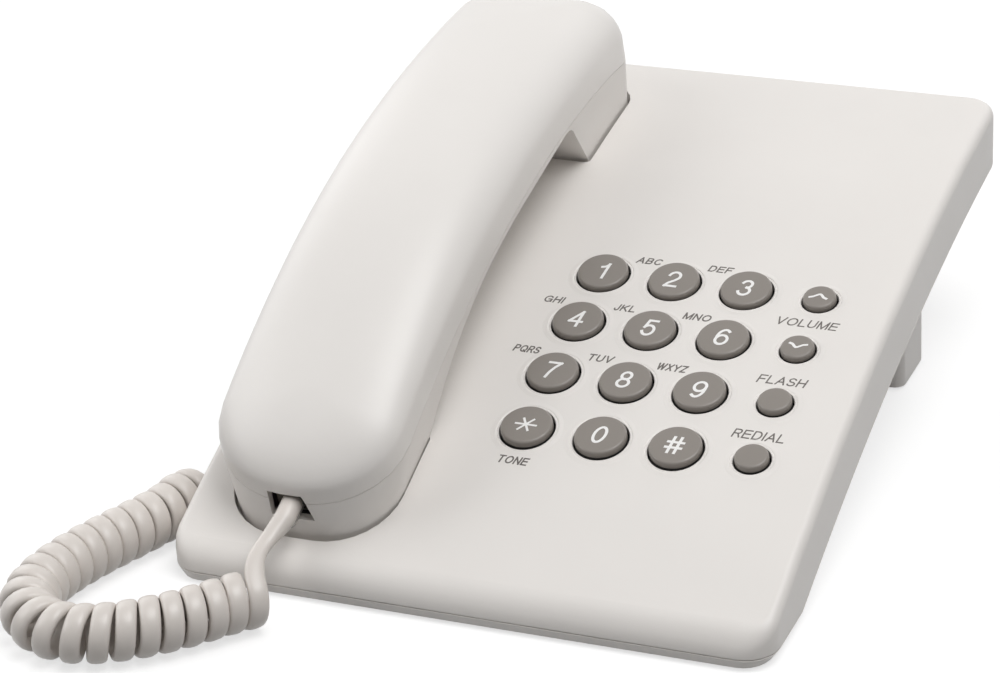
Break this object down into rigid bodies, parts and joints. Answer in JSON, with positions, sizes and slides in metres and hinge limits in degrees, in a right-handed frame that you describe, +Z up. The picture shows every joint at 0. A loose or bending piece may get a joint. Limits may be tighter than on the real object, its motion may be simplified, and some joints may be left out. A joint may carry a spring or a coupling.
{
  "type": "corded desk telephone",
  "caption": "Low wedge-shaped corded desk telephone with an arched face, round keys, a rounded handset in two cradle wells and a curly cord.",
  "frame": {"origin": "on the desk, under the middle of the base", "axes": "X across to the right, Y from the front edge to the rear, Z up"},
  "size_m": [0.1777, 0.2462, 0.0883],
  "materials": {
    "cover_plastic": "satin moulded",
    "key_plastic": "satin moulded",
    "soft_rubber": "matte",
    "steel": "plated",
    "board": "matte",
    "cord_jacket": "soft satin",
    "plug_plastic": "clear moulded",
    "dark_plastic": "matte"
  },
  "bodies": {
    "base": {"upper_cover": "cover_plastic", "lower_cover": "cover_plastic", "main_board": "board", "board_components": "dark_plastic", "keypad_mat": "soft_rubber", "hook_spring": "steel", "hook_switch": "dark_plastic", "ringer_sounder": "dark_plastic", "line_jack": "dark_plastic", "base_handset_jack": "dark_plastic", "ringer_switch": "dark_plastic", "dial_mode_switch": "dark_plastic", "board_screws": "steel", "case_screws": "steel", "front_feet": "soft_rubber", "stand": "cover_plastic", "stand_feet": "soft_rubber", "base_plug": "plug_plastic", "cord_lead_handset": "cord_jacket", "cord_coil": "cord_jacket", "cord_lead_base": "cord_jacket"},
    "handset": {"handset_upper_shell": "cover_plastic", "handset_lower_shell": "cover_plastic", "receiver_capsule": "dark_plastic", "receiver_ring": "soft_rubber", "microphone": "steel", "microphone_boot": "soft_rubber", "handset_weight": "steel", "handset_jack": "dark_plastic", "handset_screws": "steel", "handset_plug": "plug_plastic"},
    "plunger": {"hook_plunger": "key_plastic"},
    "key_1_cap": {"key_1": "key_plastic"},
    "key_2_cap": {"key_2": "key_plastic"},
    "key_3_cap": {"key_3": "key_plastic"},
    "key_4_cap": {"key_4": "key_plastic"},
    "key_5_cap": {"key_5": "key_plastic"},
    "key_6_cap": {"key_6": "key_plastic"},
    "key_7_cap": {"key_7": "key_plastic"},
    "key_8_cap": {"key_8": "key_plastic"},
    "key_9_cap": {"key_9": "key_plastic"},
    "key_star_cap": {"key_star": "key_plastic"},
    "key_0_cap": {"key_0": "key_plastic"},
    "key_hash_cap": {"key_hash": "key_plastic"},
    "key_volume_up_cap": {"key_volume_up": "key_plastic"},
    "key_volume_down_cap": {"key_volume_down": "key_plastic"},
    "key_flash_cap": {"key_flash": "key_plastic"},
    "key_redial_cap": {"key_redial": "key_plastic"},
    "ringer_slider": {"ringer_knob": "key_plastic"},
    "dial_mode_slider": {"dial_mode_knob": "key_plastic"}
  },
  "joints": [
    {"name": "handset_lift", "type": "slide", "parent": "base", "child": "handset", "axis": [0, -0.2548, 0.967], "range_m": [0, 0.08]},
    {"name": "hook_rise", "type": "slide", "parent": "base", "child": "plunger", "axis": [0, -0.1239, 0.9923], "range_m": [0, 0.005], "deforming": ["hook_spring"]},
    {"name": "key_1_press", "type": "slide", "parent": "base", "child": "key_1_cap", "axis": [0, 0.2895, -0.9572], "range_m": [0, 0.0015], "stiffness_N_per_m": 400, "springref_m": -0.0005},
    {"name": "key_2_press", "type": "slide", "parent": "base", "child": "key_2_cap", "axis": [0, 0.2895, -0.9572], "range_m": [0, 0.0015], "stiffness_N_per_m": 400, "springref_m": -0.0005},
    {"name": "key_3_press", "type": "slide", "parent": "base", "child": "key_3_cap", "axis": [0, 0.2895, -0.9572], "range_m": [0, 0.0015], "stiffness_N_per_m": 400, "springref_m": -0.0005},
    {"name": "key_4_press", "type": "slide", "parent": "base", "child": "key_4_cap", "axis": [0, 0.2895, -0.9572], "range_m": [0, 0.0015], "stiffness_N_per_m": 400, "springref_m": -0.0005},
    {"name": "key_5_press", "type": "slide", "parent": "base", "child": "key_5_cap", "axis": [0, 0.2895, -0.9572], "range_m": [0, 0.0015], "stiffness_N_per_m": 400, "springref_m": -0.0005},
    {"name": "key_6_press", "type": "slide", "parent": "base", "child": "key_6_cap", "axis": [0, 0.2895, -0.9572], "range_m": [0, 0.0015], "stiffness_N_per_m": 400, "springref_m": -0.0005},
    {"name": "key_7_press", "type": "slide", "parent": "base", "child": "key_7_cap", "axis": [0, 0.2895, -0.9572], "range_m": [0, 0.0015], "stiffness_N_per_m": 400, "springref_m": -0.0005},
    {"name": "key_8_press", "type": "slide", "parent": "base", "child": "key_8_cap", "axis": [0, 0.2895, -0.9572], "range_m": [0, 0.0015], "stiffness_N_per_m": 400, "springref_m": -0.0005},
    {"name": "key_9_press", "type": "slide", "parent": "base", "child": "key_9_cap", "axis": [0, 0.2895, -0.9572], "range_m": [0, 0.0015], "stiffness_N_per_m": 400, "springref_m": -0.0005},
    {"name": "key_star_press", "type": "slide", "parent": "base", "child": "key_star_cap", "axis": [0, 0.2895, -0.9572], "range_m": [0, 0.0015], "stiffness_N_per_m": 400, "springref_m": -0.0005},
    {"name": "key_0_press", "type": "slide", "parent": "base", "child": "key_0_cap", "axis": [0, 0.2895, -0.9572], "range_m": [0, 0.0015], "stiffness_N_per_m": 400, "springref_m": -0.0005},
    {"name": "key_hash_press", "type": "slide", "parent": "base", "child": "key_hash_cap", "axis": [0, 0.2895, -0.9572], "range_m": [0, 0.0015], "stiffness_N_per_m": 400, "springref_m": -0.0005},
    {"name": "key_volume_up_press", "type": "slide", "parent": "base", "child": "key_volume_up_cap", "axis": [0, 0.2895, -0.9572], "range_m": [0, 0.0015], "stiffness_N_per_m": 400, "springref_m": -0.0005},
    {"name": "key_volume_down_press", "type": "slide", "parent": "base", "child": "key_volume_down_cap", "axis": [0, 0.2895, -0.9572], "range_m": [0, 0.0015], "stiffness_N_per_m": 400, "springref_m": -0.0005},
    {"name": "key_flash_press", "type": "slide", "parent": "base", "child": "key_flash_cap", "axis": [0, 0.2895, -0.9572], "range_m": [0, 0.0015], "stiffness_N_per_m": 400, "springref_m": -0.0005},
    {"name": "key_redial_press", "type": "slide", "parent": "base", "child": "key_redial_cap", "axis": [0, 0.2895, -0.9572], "range_m": [0, 0.0015], "stiffness_N_per_m": 400, "springref_m": -0.0005},
    {"name": "ringer_select", "type": "slide", "parent": "base", "child": "ringer_slider", "axis": [1, 0, 0], "range_m": [-0.003, 0.003]},
    {"name": "dial_mode_select", "type": "slide", "parent": "base", "child": "dial_mode_slider", "axis": [1, 0, 0], "range_m": [-0.003, 0.003]}
  ],
  "couplings": [
    {"joint": "hook_rise", "follows": "handset_lift", "ratio": 0.0625}
  ]
}
